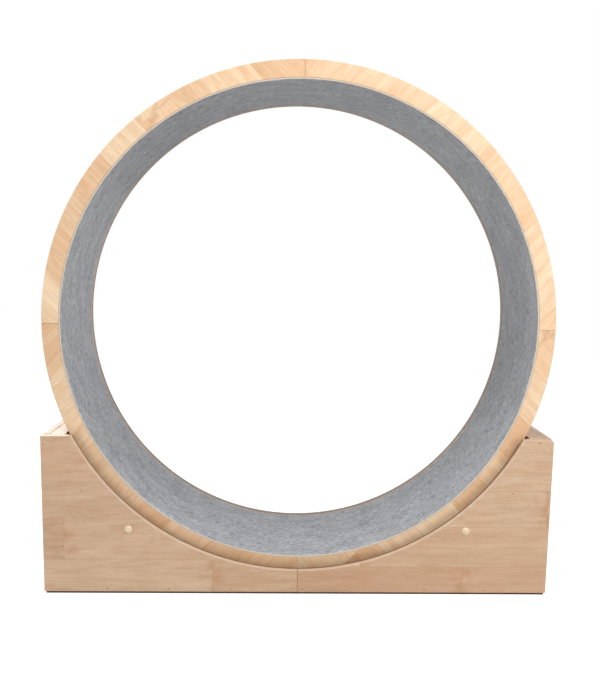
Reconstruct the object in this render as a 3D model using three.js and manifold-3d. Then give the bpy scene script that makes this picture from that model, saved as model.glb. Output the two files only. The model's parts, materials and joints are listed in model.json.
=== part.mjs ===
// Cat exercise wheel: a carpeted running wheel between two timber rings, which stands on four grooved
// rollers inside a low timber base.
//
// Millimetres, +Z up. The origin is on the floor under the middle of the object, and the front is -Y.
// The wheel turns about an axis along Y. Left and right are as seen from the front.
import * as THREE from "three";
import { mergeVertices } from "three/addons/utils/BufferGeometryUtils.js";
import Module from "manifold-3d";

const wasm = await Module();
wasm.setup();

// ---- Driving dimensions -------------------------------------------------------------------------

// Wheel
const wheelOuterRadius = 550;
const wheelWidth = 270; // over the outer faces of both rings
const ringWidth = 40.5; // radial width of a rear ring board
const ringThickness = 15;
const carpetThickness = 4;
const carpetRecess = 0.3; // carpet surface behind the rear ring's inner edge
const carpetSetback = 0.3; // carpet's front edge behind the front ring's face
const deckThickness = 8;
const battenDepth = 18; // radial
const battenWidth = 45; // along the circumference
const battenCount = 8;

// Base
const baseHeight = 346; // of the boards, without the foot strips
const boardThickness = 15;
const topBoardWidth = 32;
const topBoardThickness = 12;
const sideClearance = 15; // ring face to the panel beside it
const floorClearance = 32; // lowest point of the rings above the underside of the boards
const topBoardClearance = 6; // inner end of a top board to the rings
const cradleInset = 4; // the panels' arc is this much smaller in radius than the rings
const cradleRise = 14; // centre of the panels' arc above the wheel's axis
const outerCornerRound = 6; // upper outer corner of the front right and rear left panels
const braceLength = 110;
const braceDrop = 85.5; // middle of a brace below the underside of the top boards
const braceOffset = 34.6; // middle plane of a brace outside the rings
const cleatLength = 180;
const cleatThickness = 12;
const cleatRingGap = 5; // cleat to the planes of the rings' inner faces
const footThickness = 4;
const footWidth = 25;
const footInset = 4; // from the base's end faces
const footSetback = 1.5; // from the base's front and rear faces

// Rollers and what carries them
const rollerAngle = 39.8 * THREE.MathUtils.DEG2RAD; // from straight down, about the wheel's axis
const rollerTreadRadius = 23;
const flangeHeight = 6; // above the tread
const flangeThickness = 3;
const flangeSideRun = 0.8; // ring face to flange
const bearingOuterRadius = 11;
const bearingWidth = 7;
const axleRadius = 4;
const axleSetback = 0.5; // axle end behind the panel's outer face
const spacerOuterRadius = 6;
const spacerRunGap = 1.4; // spacer to the roller's side opening
const nutAcrossFlats = 13;
const nutHeight = 6.5;
const nutPocketRadius = 8.25;
const nutPocketDepth = 7;
const capRadius = 9;
const capHeight = 4.5;
const capRimHeight = 1;

// Clearances
const seatGap = 0.3; // between pieces that sit on each other
const rollingGap = 0.1; // between a ring's edge and a roller's tread, where corners of their flats meet

// Flats that stand for the round surfaces
const quadrantSteps = 24; // in a quarter of the wheel
const cradleSteps = 26; // in half a panel's arc
const cornerSteps = 4;
const rollerSteps = 24;
const smallTurnedSteps = 20;
const domeSteps = 5;

// ---- Derived sizes ------------------------------------------------------------------------------

const rearRingInnerRadius = wheelOuterRadius - ringWidth;
const carpetInnerRadius = rearRingInnerRadius + carpetRecess;
const carpetOuterRadius = carpetInnerRadius + carpetThickness;
const deckInnerRadius = carpetOuterRadius + seatGap;
const deckOuterRadius = deckInnerRadius + deckThickness;
const frontRingInnerRadius = deckInnerRadius; // the carpet runs over this ring's inner edge
const betweenRings = wheelWidth - 2 * ringThickness;
const deckWidth = betweenRings - 2 * seatGap;
const carpetFrontY = carpetSetback - wheelWidth / 2;
const carpetRearY = deckWidth / 2;

const baseBottom = footThickness + seatGap;
const baseTop = baseBottom + baseHeight;
const axisHeight = baseBottom + floorClearance + wheelOuterRadius;
const baseDepth = wheelWidth + 2 * (sideClearance + boardThickness);
const insideDepth = baseDepth - 2 * boardThickness - 2 * seatGap;
const ringHalfWidthAtTop = Math.sqrt(wheelOuterRadius ** 2 - (axisHeight - baseTop) ** 2);
const topBoardInnerEnd = ringHalfWidthAtTop + topBoardClearance;
const endBoardInnerFace = topBoardInnerEnd + topBoardWidth + seatGap;
const baseHalfLength = endBoardInnerFace + boardThickness;
const bottomBoardTop = baseBottom + boardThickness;
const cradleRadius = wheelOuterRadius - cradleInset;
const cradleCentreHeight = axisHeight + cradleRise;

const axleDistance = wheelOuterRadius + rollingGap + rollerTreadRadius; // from the wheel's axis
const axleX = axleDistance * Math.sin(rollerAngle);
const axleZ = axisHeight - axleDistance * Math.cos(rollerAngle);
const axleHoleRadius = axleRadius + seatGap; // in whatever the axle passes through
const ringMiddleY = (wheelWidth - ringThickness) / 2; // of the rear ring; the front one is at minus this
const panelMiddleY = (baseDepth - boardThickness) / 2;
const panelInnerFaceY = panelMiddleY - boardThickness / 2;
const grooveWidth = ringThickness + 2 * flangeSideRun;
const rollerWidth = grooveWidth + 2 * flangeThickness;
const spacerTubeHalf = ringMiddleY - bearingWidth / 2 - seatGap;
const bushInnerY = ringMiddleY + bearingWidth / 2 + seatGap;
const bushOuterY = panelInnerFaceY - seatGap;

// ---- Materials ----------------------------------------------------------------------------------

function material(color, roughness, metalness = 0) {
  return new THREE.MeshStandardMaterial({ color, roughness, metalness });
}

const boardMaterial = material(0xd6b391, 0.5); // laminated light timber
const ringMaterial = material(0xe0b98c, 0.5);
const plywoodMaterial = material(0xcbaa80, 0.7);
const battenMaterial = material(0xc39e70, 0.75);
const carpetMaterial = material(0x97989b, 1.0);
const rubberMaterial = material(0x2c2422, 0.85);
const nylonMaterial = material(0xe9e7e0, 0.45);
const steelMaterial = material(0xb4b6b8, 0.35, 1);
const capMaterial = material(0xe2bd92, 0.45);

// ---- Geometry helpers ---------------------------------------------------------------------------

// A closed mesh as a solid for cutting and joining.
function solid(geometry) {
  const plain = geometry.clone();
  plain.deleteAttribute("normal");
  plain.deleteAttribute("uv");
  const merged = mergeVertices(plain, 1e-4);
  const vertProperties = new Float32Array(merged.attributes.position.array);
  const triVerts = new Uint32Array(merged.index.array);
  return new wasm.Manifold(new wasm.Mesh({ numProp: 3, vertProperties, triVerts }));
}

function geometryOf(cutSolid) {
  const { vertProperties, triVerts } = cutSolid.getMesh();
  const geometry = new THREE.BufferGeometry();
  geometry.setAttribute("position", new THREE.BufferAttribute(vertProperties, 3));
  geometry.setIndex(new THREE.BufferAttribute(triVerts, 1));
  geometry.computeVertexNormals();
  return geometry;
}

function cut(geometry, ...tools) {
  return geometryOf(tools.reduce((left, tool) => left.subtract(solid(tool)), solid(geometry)));
}

// An outline of points in X and Z, given a thickness along Y and centred on y = 0.
function plate(points, thickness) {
  const outline = new THREE.Shape(points);
  const geometry = new THREE.ExtrudeGeometry(outline, { depth: thickness, bevelEnabled: false });
  geometry.rotateX(Math.PI / 2);
  geometry.translate(0, thickness / 2, 0);
  return geometry;
}

// Points on a round stretch of such an outline, both ends included.
function arcPoints(centreX, centreZ, radius, fromAngle, toAngle, steps) {
  return Array.from({ length: steps + 1 }, (_, step) => {
    const angle = fromAngle + ((toAngle - fromAngle) * step) / steps;
    return new THREE.Vector2(centreX + radius * Math.cos(angle), centreZ + radius * Math.sin(angle));
  });
}

// A piece turned about an axis along Y, from a line of [radius, y] points that runs up its outer side.
// The line starts and ends on the axis, or closes on itself.
function lathed(section, steps) {
  return new THREE.LatheGeometry(section.map(([radius, y]) => new THREE.Vector2(radius, y)), steps);
}

function lathedRing(section, steps) {
  return lathed([...section, section[0]], steps);
}

function tube(innerRadius, outerRadius, length, steps) {
  const half = length / 2;
  const section = [[innerRadius, -half], [outerRadius, -half], [outerRadius, half], [innerRadius, half]];
  return lathedRing(section, steps);
}

function rod(radius, length, steps) {
  return new THREE.CylinderGeometry(radius, radius, length, steps);
}

const model = new THREE.Group();
const wheel = new THREE.Group();
wheel.position.z = axisHeight;
const base = new THREE.Group();
model.add(base, wheel);

function add(group, name, geometry, meshMaterial, x = 0, y = 0, z = 0) {
  const mesh = new THREE.Mesh(geometry, meshMaterial);
  mesh.name = name;
  mesh.position.set(x, y, z);
  group.add(mesh);
}

const sides = [["left", -1], ["right", 1]];
const faces = [["front", -1], ["rear", 1]];

// ---- Wheel: two rings of four quadrants ---------------------------------------------------------

// A flat or curved strip of a ring between two radii, from one angle to another, about the Y axis.
// Each end stands back by half a seat gap, so that neighbours meet with a whole one.
function arcStrip(innerRadius, outerRadius, fromAngle, toAngle, width) {
  const endAngle = seatGap / 2 / innerRadius;
  const start = fromAngle + endAngle;
  const end = toAngle - endAngle;
  const outerEdge = arcPoints(0, 0, outerRadius, start, end, quadrantSteps);
  const innerEdge = arcPoints(0, 0, innerRadius, end, start, quadrantSteps);
  return plate([...outerEdge, ...innerEdge], width);
}

const quarter = Math.PI / 2;
const ringQuadrants = ["upper_right", "upper_left", "lower_left", "lower_right"];
for (const [face, toRear] of faces) {
  const innerRadius = toRear < 0 ? frontRingInnerRadius : rearRingInnerRadius;
  ringQuadrants.forEach((place, index) => {
    const start = index * quarter;
    const quadrant = arcStrip(innerRadius, wheelOuterRadius, start, start + quarter, ringThickness);
    add(wheel, `${face}_ring_${place}`, quadrant, ringMaterial, 0, toRear * ringMiddleY, 0);
  });
}

// ---- Wheel: bent deck panels, carpet and cross battens ------------------------------------------

// The deck's joints lie half way between the rings' joints.
["top", "left", "bottom", "right"].forEach((place, index) => {
  const start = (index + 0.5) * quarter;
  const panel = arcStrip(deckInnerRadius, deckOuterRadius, start, start + quarter, deckWidth);
  add(wheel, `deck_panel_${place}`, panel, plywoodMaterial);
});

// The carpet lies on the deck and on the front ring, up to that ring's face, and ends at the rear ring.
const carpetWidth = carpetRearY - carpetFrontY;
const carpet = tube(carpetInnerRadius, carpetOuterRadius, carpetWidth, 4 * quadrantSteps);
add(wheel, "running_carpet", carpet, carpetMaterial, 0, (carpetFrontY + carpetRearY) / 2, 0);

// One batten behind each joint of the rings and of the deck. It joins both rings and carries the deck.
const battenMiddleRadius = deckOuterRadius + seatGap + battenDepth / 2;
for (let index = 0; index < battenCount; index += 1) {
  const angle = (index * 2 * Math.PI) / battenCount;
  const batten = new THREE.BoxGeometry(battenDepth, deckWidth, battenWidth).rotateY(-angle);
  const x = battenMiddleRadius * Math.cos(angle);
  const z = battenMiddleRadius * Math.sin(angle);
  add(wheel, `cross_batten_${index + 1}`, batten, battenMaterial, x, 0, z);
}

// ---- Base: four cradle panels -------------------------------------------------------------------

// Outline of the right half of a panel, with x from the centre joint outwards and z from the floor up.
// The arc that clears the wheel runs from the centre joint to the top edge.
function cradleOutline(cornerRound) {
  const jointX = seatGap / 2;
  const arcFrom = Math.asin(jointX / cradleRadius) - quarter;
  const arcTo = Math.asin((baseTop - cradleCentreHeight) / cradleRadius);
  const roundX = baseHalfLength - cornerRound;
  const roundZ = baseTop - cornerRound;
  const squareCorner = [new THREE.Vector2(baseHalfLength, baseTop)];
  const roundCorner = arcPoints(roundX, roundZ, cornerRound, 0, quarter, cornerSteps);
  return [
    new THREE.Vector2(jointX, baseBottom),
    new THREE.Vector2(baseHalfLength, baseBottom),
    ...(cornerRound > 0 ? roundCorner : squareCorner),
    ...arcPoints(0, cradleCentreHeight, cradleRadius, arcTo, arcFrom, cradleSteps),
  ];
}

for (const [face, toRear] of faces) {
  for (const [side, toRight] of sides) {
    const isRounded = toRight === -toRear;
    const blank = plate(cradleOutline(isRounded ? outerCornerRound : 0), boardThickness);
    const axleHole = rod(axleHoleRadius, 2 * boardThickness, smallTurnedSteps);
    axleHole.translate(axleX, 0, axleZ);
    const pocket = rod(nutPocketRadius, 2 * nutPocketDepth, smallTurnedSteps);
    pocket.translate(axleX, toRight * toRear * (boardThickness / 2), axleZ);
    const panel = cut(blank, axleHole, pocket);
    if (toRight < 0) {
      panel.rotateZ(Math.PI);
    }
    add(base, `${face}_panel_${side}`, panel, boardMaterial, 0, toRear * panelMiddleY, 0);
  }
}

// ---- Base: boards between the panels ------------------------------------------------------------

for (const [side, toRight] of sides) {
  const endX = toRight * (baseHalfLength - boardThickness / 2);
  const endBoard = new THREE.BoxGeometry(boardThickness, insideDepth, baseHeight);
  add(base, `end_board_${side}`, endBoard, boardMaterial, endX, 0, baseBottom + baseHeight / 2);

  const topX = toRight * (topBoardInnerEnd + topBoardWidth / 2);
  const topBoard = new THREE.BoxGeometry(topBoardWidth, insideDepth, topBoardThickness);
  add(base, `top_board_${side}`, topBoard, boardMaterial, topX, 0, baseTop - topBoardThickness / 2);

  const bottomLength = endBoardInnerFace - seatGap - seatGap / 2;
  const bottomX = toRight * (seatGap / 2 + bottomLength / 2);
  const bottomZ = baseBottom + boardThickness / 2;
  const bottomBoard = new THREE.BoxGeometry(bottomLength, insideDepth, boardThickness);
  add(base, `bottom_board_${side}`, bottomBoard, boardMaterial, bottomX, 0, bottomZ);

  // A brace stands square to a radius of the wheel, beside the rings.
  const braceZ = baseTop - topBoardThickness - braceDrop;
  const braceRadius = wheelOuterRadius + braceOffset;
  const braceX = Math.sqrt(braceRadius ** 2 - (axisHeight - braceZ) ** 2);
  const braceTilt = Math.atan2(axisHeight - braceZ, braceX);
  const brace = new THREE.BoxGeometry(boardThickness, insideDepth, braceLength);
  brace.rotateY(toRight * braceTilt);
  add(base, `inner_brace_${side}`, brace, battenMaterial, toRight * braceX, 0, braceZ);
}

const cleatDepth = betweenRings - 2 * cleatRingGap;
const cleat = new THREE.BoxGeometry(cleatLength, cleatDepth, cleatThickness);
add(base, "joining_cleat", cleat, battenMaterial, 0, 0, bottomBoardTop + seatGap + cleatThickness / 2);

for (const [face, toRear] of faces) {
  const strip = new THREE.BoxGeometry(2 * (baseHalfLength - footInset), footWidth, footThickness);
  const stripY = toRear * (baseDepth / 2 - footSetback - footWidth / 2);
  add(base, `foot_strip_${face}`, strip, rubberMaterial, 0, stripY, footThickness / 2);
}

// ---- Axles, and the rollers on them -------------------------------------------------------------

// Section of a roller: a tread between two flanges, with a bearing pocket in its middle and a narrower
// way in round the spacers at both sides.
function rollerSection() {
  const half = rollerWidth / 2;
  const groove = grooveWidth / 2;
  const pocket = bearingWidth / 2 + seatGap;
  const opening = spacerOuterRadius + spacerRunGap;
  const flangeRadius = rollerTreadRadius + flangeHeight;
  return [
    [opening, -half],
    [flangeRadius, -half],
    [flangeRadius, -groove],
    [rollerTreadRadius, -groove],
    [rollerTreadRadius, groove],
    [flangeRadius, groove],
    [flangeRadius, half],
    [opening, half],
    [opening, pocket],
    [bearingOuterRadius + seatGap, pocket],
    [bearingOuterRadius + seatGap, -pocket],
    [opening, -pocket],
  ];
}

function hexNut() {
  const cornerRadius = nutAcrossFlats / Math.sqrt(3);
  const hexagon = arcPoints(0, 0, cornerRadius, 0, 2 * Math.PI, 6).slice(0, 6);
  return cut(plate(hexagon, nutHeight), rod(axleHoleRadius, 2 * nutHeight, smallTurnedSteps));
}

// A low dome with its flat back at y = 0 and its top towards -Y or +Y.
function domedCap(toRear) {
  const domeHeight = capHeight - capRimHeight;
  const sphereRadius = (capRadius ** 2 + domeHeight ** 2) / (2 * domeHeight);
  const rimAngle = Math.asin(capRadius / sphereRadius);
  const section = [[0, 0], [capRadius, 0]];
  for (let step = 0; step <= domeSteps; step += 1) {
    const angle = rimAngle * (1 - step / domeSteps);
    section.push([sphereRadius * Math.sin(angle), capHeight - sphereRadius * (1 - Math.cos(angle))]);
  }
  return lathed(section, smallTurnedSteps).rotateX(toRear > 0 ? 0 : Math.PI);
}

for (const [side, toRight] of sides) {
  const x = toRight * axleX;
  const axle = rod(axleRadius, baseDepth - 2 * axleSetback, smallTurnedSteps);
  add(base, `axle_rod_${side}`, axle, steelMaterial, x, 0, axleZ);
  const longSpacer = tube(axleHoleRadius, spacerOuterRadius, 2 * spacerTubeHalf, smallTurnedSteps);
  add(base, `spacer_tube_${side}`, longSpacer, steelMaterial, x, 0, axleZ);

  for (const [face, toRear] of faces) {
    const roller = lathedRing(rollerSection(), rollerSteps);
    add(base, `roller_${face}_${side}`, roller, nylonMaterial, x, toRear * ringMiddleY, axleZ);
    const bearing = tube(axleHoleRadius, bearingOuterRadius, bearingWidth, smallTurnedSteps);
    add(base, `bearing_${face}_${side}`, bearing, steelMaterial, x, toRear * ringMiddleY, axleZ);

    const bush = tube(axleHoleRadius, spacerOuterRadius, bushOuterY - bushInnerY, smallTurnedSteps);
    const bushY = (toRear * (bushOuterY + bushInnerY)) / 2;
    add(base, `axle_bush_${face}_${side}`, bush, steelMaterial, x, bushY, axleZ);
    const nutY = toRear * (baseDepth / 2 - nutPocketDepth + seatGap + nutHeight / 2);
    add(base, `axle_nut_${face}_${side}`, hexNut(), steelMaterial, x, nutY, axleZ);
    const capY = toRear * (baseDepth / 2 + seatGap);
    add(base, `axle_cap_${face}_${side}`, domedCap(toRear), capMaterial, x, capY, axleZ);
  }
}

export default model;
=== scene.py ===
# %% [markdown]
# # A carpeted running wheel for a cat
#
# The object is a wheel of light timber, a metre across inside, with a grey carpet on its running surface.
# It has no axle: it stands on four grooved rollers inside a low timber base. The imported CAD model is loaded
# first and stays as it is. Every piece below is built around it, in metres, in the same place, and rides on
# its body.

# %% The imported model
import json
import math

import bmesh
import bpy
import numpy as np
from mathutils import Matrix, Vector


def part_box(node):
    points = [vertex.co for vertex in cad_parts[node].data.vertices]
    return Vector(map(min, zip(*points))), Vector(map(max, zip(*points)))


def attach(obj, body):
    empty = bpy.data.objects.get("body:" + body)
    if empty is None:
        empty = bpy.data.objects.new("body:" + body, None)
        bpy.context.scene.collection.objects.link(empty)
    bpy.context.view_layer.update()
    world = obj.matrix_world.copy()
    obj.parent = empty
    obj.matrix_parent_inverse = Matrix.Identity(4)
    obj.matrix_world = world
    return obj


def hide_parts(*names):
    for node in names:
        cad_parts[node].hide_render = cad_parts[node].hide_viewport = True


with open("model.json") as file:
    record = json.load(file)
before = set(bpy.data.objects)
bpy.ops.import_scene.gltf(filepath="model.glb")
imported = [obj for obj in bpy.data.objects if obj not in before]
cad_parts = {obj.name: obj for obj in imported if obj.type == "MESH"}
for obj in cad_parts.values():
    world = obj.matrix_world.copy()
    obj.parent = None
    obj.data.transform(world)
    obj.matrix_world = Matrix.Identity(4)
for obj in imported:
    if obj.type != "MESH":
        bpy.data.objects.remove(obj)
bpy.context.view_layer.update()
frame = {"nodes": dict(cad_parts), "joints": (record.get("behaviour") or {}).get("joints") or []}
MM = 0.001
QUARTER = math.pi / 2
SIDES = (("left", -1), ("right", 1))  # and the way along X
FACES = (("front", -1), ("rear", 1))  # and the way along Y

# %% [markdown]
# ## Sizes read from the frame
#
# A radius isn't in a box, so it is measured on the corners of a node: they all lie on its true circles,
# because the flats of a turned CAD solid are drawn between points of the circle.

# %% Radii and planes of the wheel and its base
joints = {joint["name"]: joint for joint in frame["joints"]}
axis_height = joints["wheel_spin"]["pos_m"][2]
axle_x, _, axle_z = joints["front_right_roller_spin"]["pos_m"]


def from_axis(points, height=axis_height):
    """The distance of each point from a line along Y at this height. The wheel's axis is one."""
    return np.hypot(points[:, 0], points[:, 2] - height)


def turn_from(start, points):
    """The angle of each point round the wheel's axis, counted from start."""
    return np.mod(np.arctan2(points[:, 2] - axis_height, points[:, 0]) - start, 2 * math.pi)


def radii(node):
    """The smallest and the largest distance of a node's corners from the wheel's axis."""
    distances = from_axis(np.array([corner.co for corner in frame["nodes"][node].data.vertices]))
    return float(distances.min()), float(distances.max())


ring_radii = {face: radii(f"{face}_ring_upper_right") for face in ("front", "rear")}
carpet_inner, carpet_outer = radii("running_carpet")
deck_inner, deck_outer = radii("deck_panel_top")
deck_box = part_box("deck_panel_top")
panel_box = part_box("front_panel_right")
for face, (inner, outer) in ring_radii.items():
    print(f"{face} ring {inner:.4f} to {outer:.4f} m")
print(f"carpet {carpet_inner:.4f} to {carpet_outer:.4f} m")
print(f"deck {deck_inner:.4f} to {deck_outer:.4f}, axis at {axis_height:.4f} m")

# %% [markdown]
# ## Helpers for meshes
#
# Real boards have no knife edges: a machine eases them by about a millimetre, and that small round is what
# catches the light. So each board is bevelled and shaded smooth, and a Weighted Normal modifier keeps its
# flat faces flat.

# %% Meshes from points, and modifiers turned into plain meshes
CORNER = math.radians(30)  # an edge that turns by more is a corner
BLUNT_CORNER = math.radians(50)  # on pieces that are bent round the wheel
SAME_POINT = 1e-7  # metres between two corners that are one


def mesh_from(name, points, faces):
    """A mesh with its doubles merged and its faces pointing outwards."""
    made = bpy.data.meshes.new(name)
    made.from_pydata([tuple(point) for point in points], [], faces)
    shape = bmesh.new()
    shape.from_mesh(made)
    bmesh.ops.remove_doubles(shape, verts=shape.verts, dist=SAME_POINT)
    bmesh.ops.recalc_face_normals(shape, faces=shape.faces)
    shape.to_mesh(made)
    shape.free()
    return made


def mesh_of(shape, name):
    """The mesh of a bmesh, which is freed."""
    made = bpy.data.meshes.new(name)
    shape.to_mesh(made)
    shape.free()
    return made


def bevelled(mesh, width, segments=3, corner=CORNER):
    """The mesh with each edge that turns by more than corner rounded to width."""
    shape = bmesh.new()
    shape.from_mesh(mesh)
    edges = [edge for edge in shape.edges if edge.calc_face_angle(0) > corner]
    bmesh.ops.bevel(shape, geom=edges, offset=width, segments=segments, profile=0.5, affect="EDGES",
                    clamp_overlap=True)
    bmesh.ops.recalc_face_normals(shape, faces=shape.faces)
    shape.to_mesh(mesh)
    shape.free()
    return mesh


def linked(name, data):
    """A new object in the scene. A modifier works on one that is only passing through."""
    made = bpy.data.objects.new(name, data)
    bpy.context.scene.collection.objects.link(made)
    return made


def evaluated(carrier):
    """The plain mesh that a carrier's modifiers leave. The carrier goes."""
    graph = bpy.context.evaluated_depsgraph_get()
    made = bpy.data.meshes.new_from_object(carrier.evaluated_get(graph), depsgraph=graph)
    carrier.modifiers.clear()
    bpy.data.objects.remove(carrier)
    return made


def modified(mesh, kind, **settings):
    """The mesh after one modifier with these settings."""
    carrier = linked("carrier", mesh)
    modifier = carrier.modifiers.new(kind.lower(), kind)
    for key, value in settings.items():
        setattr(modifier, key, value)
    return evaluated(carrier)


def smoothed(mesh, corner):
    """Smooth shading that leaves the edges that turn by more than corner sharp."""
    mesh.shade_smooth()
    mesh.set_sharp_from_angle(angle=corner)
    return mesh


def shaded(mesh):
    """Smooth shading that leaves flat faces flat and corners sharp."""
    return modified(smoothed(mesh, CORNER), "WEIGHTED_NORMAL", keep_sharp=True, weight=80)


def table(elements, what):
    """One vector for each vertex or face of a mesh, such as its place or its normal."""
    flat = np.zeros(3 * len(elements), np.float32)
    elements.foreach_get(what, flat)
    return flat.reshape(-1, 3).astype(float)


def positions(mesh):
    return table(mesh.vertices, "co")


def store(mesh, name, vectors):
    """Keeps a vector for each vertex as an attribute, for a material to read."""
    attribute = mesh.attributes.new(name, "FLOAT_VECTOR", "POINT")
    attribute.data.foreach_set("vector", np.asarray(vectors, np.float32).ravel())


# %% [markdown]
# Wood is drawn in the board's own frame: x along its grain, y through it and z across its planks. That
# place is kept on each board as the attribute "grain", so one material does for all boards, and a board
# that turns keeps its figure. Each board starts somewhere else on the endless plank, so no two are alike.
# Where the saw cut across the fibres the wood drinks more lacquer and looks darker, so each face also says
# whether it is sawn. The same mark also carries painted shade on some faces beside the wheel.

# %% The grain of a flat board
PLANK_STEP = 1.37  # metres along the endless plank between two boards
ROW_STEP = 0.431  # and across it
END_GRAIN = 0.3  # how far end grain goes towards the tone of a sawn edge
ACROSS_FIBRES = 0.7  # a face whose normal leans this far along the fibres was cut across them
boards_cut = 0


def mark_faces(mesh, name, marked):
    """Keeps a number for each face as an attribute: 1 is fully marked."""
    mesh.attributes.new(name, "FLOAT", "FACE").data.foreach_set("value", marked.astype(np.float32))


def mark_end_grain(mesh, along, share=1.0):
    lean = np.abs(table(mesh.polygons, "normal") @ np.array(along))
    mark_faces(mesh, "sawn_and_painted_shade", share * (lean > ACROSS_FIBRES))


def lay_grain(mesh, along, across, row=None):
    """Stores the place on the plank. row is the place across it where the board's own zero lies."""
    global boards_cut
    boards_cut += 1
    x_axis = np.array(Vector(along).normalized())
    z_axis = np.array(Vector(across).normalized())
    y_axis = np.cross(z_axis, x_axis)
    points = positions(mesh)
    shift = (boards_cut * PLANK_STEP, 0, boards_cut * ROW_STEP if row is None else row)
    store(mesh, "grain", np.stack([points @ x_axis, points @ y_axis, points @ z_axis], axis=1) + shift)
    if "sawn_and_painted_shade" not in mesh.attributes:
        mark_end_grain(mesh, x_axis, END_GRAIN)
    return mesh


def piece(name, mesh, finish, body, slot, *replaced):
    """Makes the mesh a piece that rides on a body and stands for CAD nodes."""
    made = linked(name, mesh)
    mesh.materials.clear()
    mesh.materials.append(finish)
    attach(made, body)
    if replaced:
        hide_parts(*replaced)
    return made


# %% [markdown]
# ## Helpers for materials
#
# Every shader tree is built with one function that adds a node. An input is given a number, a colour, a
# socket or a node, and a node stands for its first output. Colours are written as the hex values that a
# paint card would give, and are turned to linear light in one place. A pattern's scale is written as a real
# size.

# %% Colours, sizes and nodes
MIX_A, MIX_B, MIX_COLOUR = 6, 7, 2  # the colour sockets of a Mix node


def linear(hex_colour):
    channels = [int(hex_colour[i:i + 2], 16) / 255 for i in (1, 3, 5)]
    return (*(c / 12.92 if c <= 0.04045 else ((c + 0.055) / 1.055) ** 2.4 for c in channels), 1)


def per_mm(*sizes):
    """The scale of a pattern whose features are this many millimetres long in x, y and z."""
    return tuple(1000 / size for size in sizes)


def put(tree, kind, inputs=(), **settings):
    """Adds a node. inputs are by name or number, and settings are the node's own choices."""
    made = tree.nodes.new(kind)
    for key, value in settings.items():
        setattr(made, key, value)
    for key, value in dict(inputs).items():
        source = value.outputs[0] if isinstance(value, bpy.types.Node) else value
        if isinstance(source, bpy.types.NodeSocket):
            tree.links.new(source, made.inputs[key])
        else:
            made.inputs[key].default_value = source
    return made


def maths(tree, operation, *values):
    """A Math node whose inputs are given in their order."""
    return put(tree, "ShaderNodeMath", enumerate(values), operation=operation)


def vectors(tree, operation, *values):
    """The same for Vector Math."""
    return put(tree, "ShaderNodeVectorMath", enumerate(values), operation=operation)


def ranged(tree, value, start, end, low=0.0, high=1.0, **settings):
    """Start to end becomes low to high, and what lies outside is held at either."""
    return put(tree, "ShaderNodeMapRange", enumerate((value, start, end, low, high)), **settings)


def blended(tree, share, first, second):
    """The colour that lies this share of the way from the first to the second."""
    sockets = {0: share, MIX_A: first, MIX_B: second}
    return put(tree, "ShaderNodeMix", sockets, data_type="RGBA").outputs[MIX_COLOUR]


def new_material(name):
    made = bpy.data.materials.new(name)
    made.use_nodes = True
    made.node_tree.nodes.clear()
    return made, made.node_tree


def noise_of(tree, place, sizes, detail, dissolve):
    """Noise whose spots are this many millimetres long in x, y and z."""
    scaled = vectors(tree, "MULTIPLY", place, per_mm(*sizes))
    settings = {"Vector": scaled, "Scale": 1.0, "Detail": detail, "Roughness": dissolve}
    return put(tree, "ShaderNodeTexNoise", settings)


def weighted_sum(tree, figures):
    """Figures are (socket, its mean, weight). They push a value up and down from a half."""
    total = 0.5 - sum(mean * weight for _, mean, weight in figures)
    for figure, _, weight in figures:
        total = maths(tree, "MULTIPLY_ADD", figure, weight, total)
    return total


def surface(tree, look, strength, bump_mm, height):
    """Ends a material with a shader and with a relief this many millimetres high."""
    bump = put(tree, "ShaderNodeBump", {"Strength": strength, "Distance": bump_mm * MM, "Height": height})
    shader = put(tree, "ShaderNodeBsdfPrincipled", {**look, "Normal": bump})
    put(tree, "ShaderNodeOutputMaterial", {"Surface": shader})


# %% [markdown]
# ## Edge-glued timber
#
# The boards are glued up from planks of light timber about 85 mm wide, sanded and given a satin lacquer.
# Seen close, that is several things on top of each other: planks of slightly different tones with fine
# joints, the growth rings that the saw cut lengthwise, straight fibres, a faint ripple across the grain,
# and a few knots.
#
# The planks come first. One-dimensional Voronoi cells give rows of uneven width, and each row is cut into
# lengths by a second set of cells that starts at random.

# %% Planks
UNEVEN = 0.45  # 0 is equal planks
ROW_STARTS = 17.3  # how many plank lengths the starts of the rows are spread over


def planks(tree, along, across, plank_mm, length_mm):
    """A random colour for each plank, and how many millimetres off its nearest joint and its end are."""
    rows = maths(tree, "MULTIPLY", across, 1000 / plank_mm)
    row_cells = {"W": rows, "Scale": 1.0, "Randomness": UNEVEN}
    row = put(tree, "ShaderNodeTexVoronoi", row_cells, voronoi_dimensions="1D")
    to_edge = {"voronoi_dimensions": "1D", "feature": "DISTANCE_TO_EDGE"}
    row_edge = put(tree, "ShaderNodeTexVoronoi", row_cells, **to_edge)
    row_draw = put(tree, "ShaderNodeSeparateXYZ", {0: row.outputs["Color"]})
    start = maths(tree, "MULTIPLY", row_draw, ROW_STARTS)
    lengths = maths(tree, "MULTIPLY_ADD", along, 1000 / length_mm, start)
    length_cells = {**row_cells, "W": lengths}
    piece_of = put(tree, "ShaderNodeTexVoronoi", length_cells, voronoi_dimensions="1D")
    cut_edge = put(tree, "ShaderNodeTexVoronoi", length_cells, **to_edge)
    row_gap = maths(tree, "MULTIPLY", row_edge, plank_mm)
    cut_gap = maths(tree, "MULTIPLY", cut_edge, length_mm)
    gap = maths(tree, "MINIMUM", row_gap, cut_gap)
    both = vectors(tree, "ADD", row.outputs["Color"], piece_of.outputs["Color"])
    draw = put(tree, "ShaderNodeTexWhiteNoise", {"Vector": both}, noise_dimensions="3D")
    return draw.outputs["Color"], gap, cut_gap


# %% [markdown]
# Growth rings are the contour lines of a smooth noise that is stretched along the grain: where the noise is
# level the lines spread into the arches that a flat-sawn board shows. A knot is a bump in that noise, so
# the lines flow round it, with a dark core in its middle.

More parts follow.
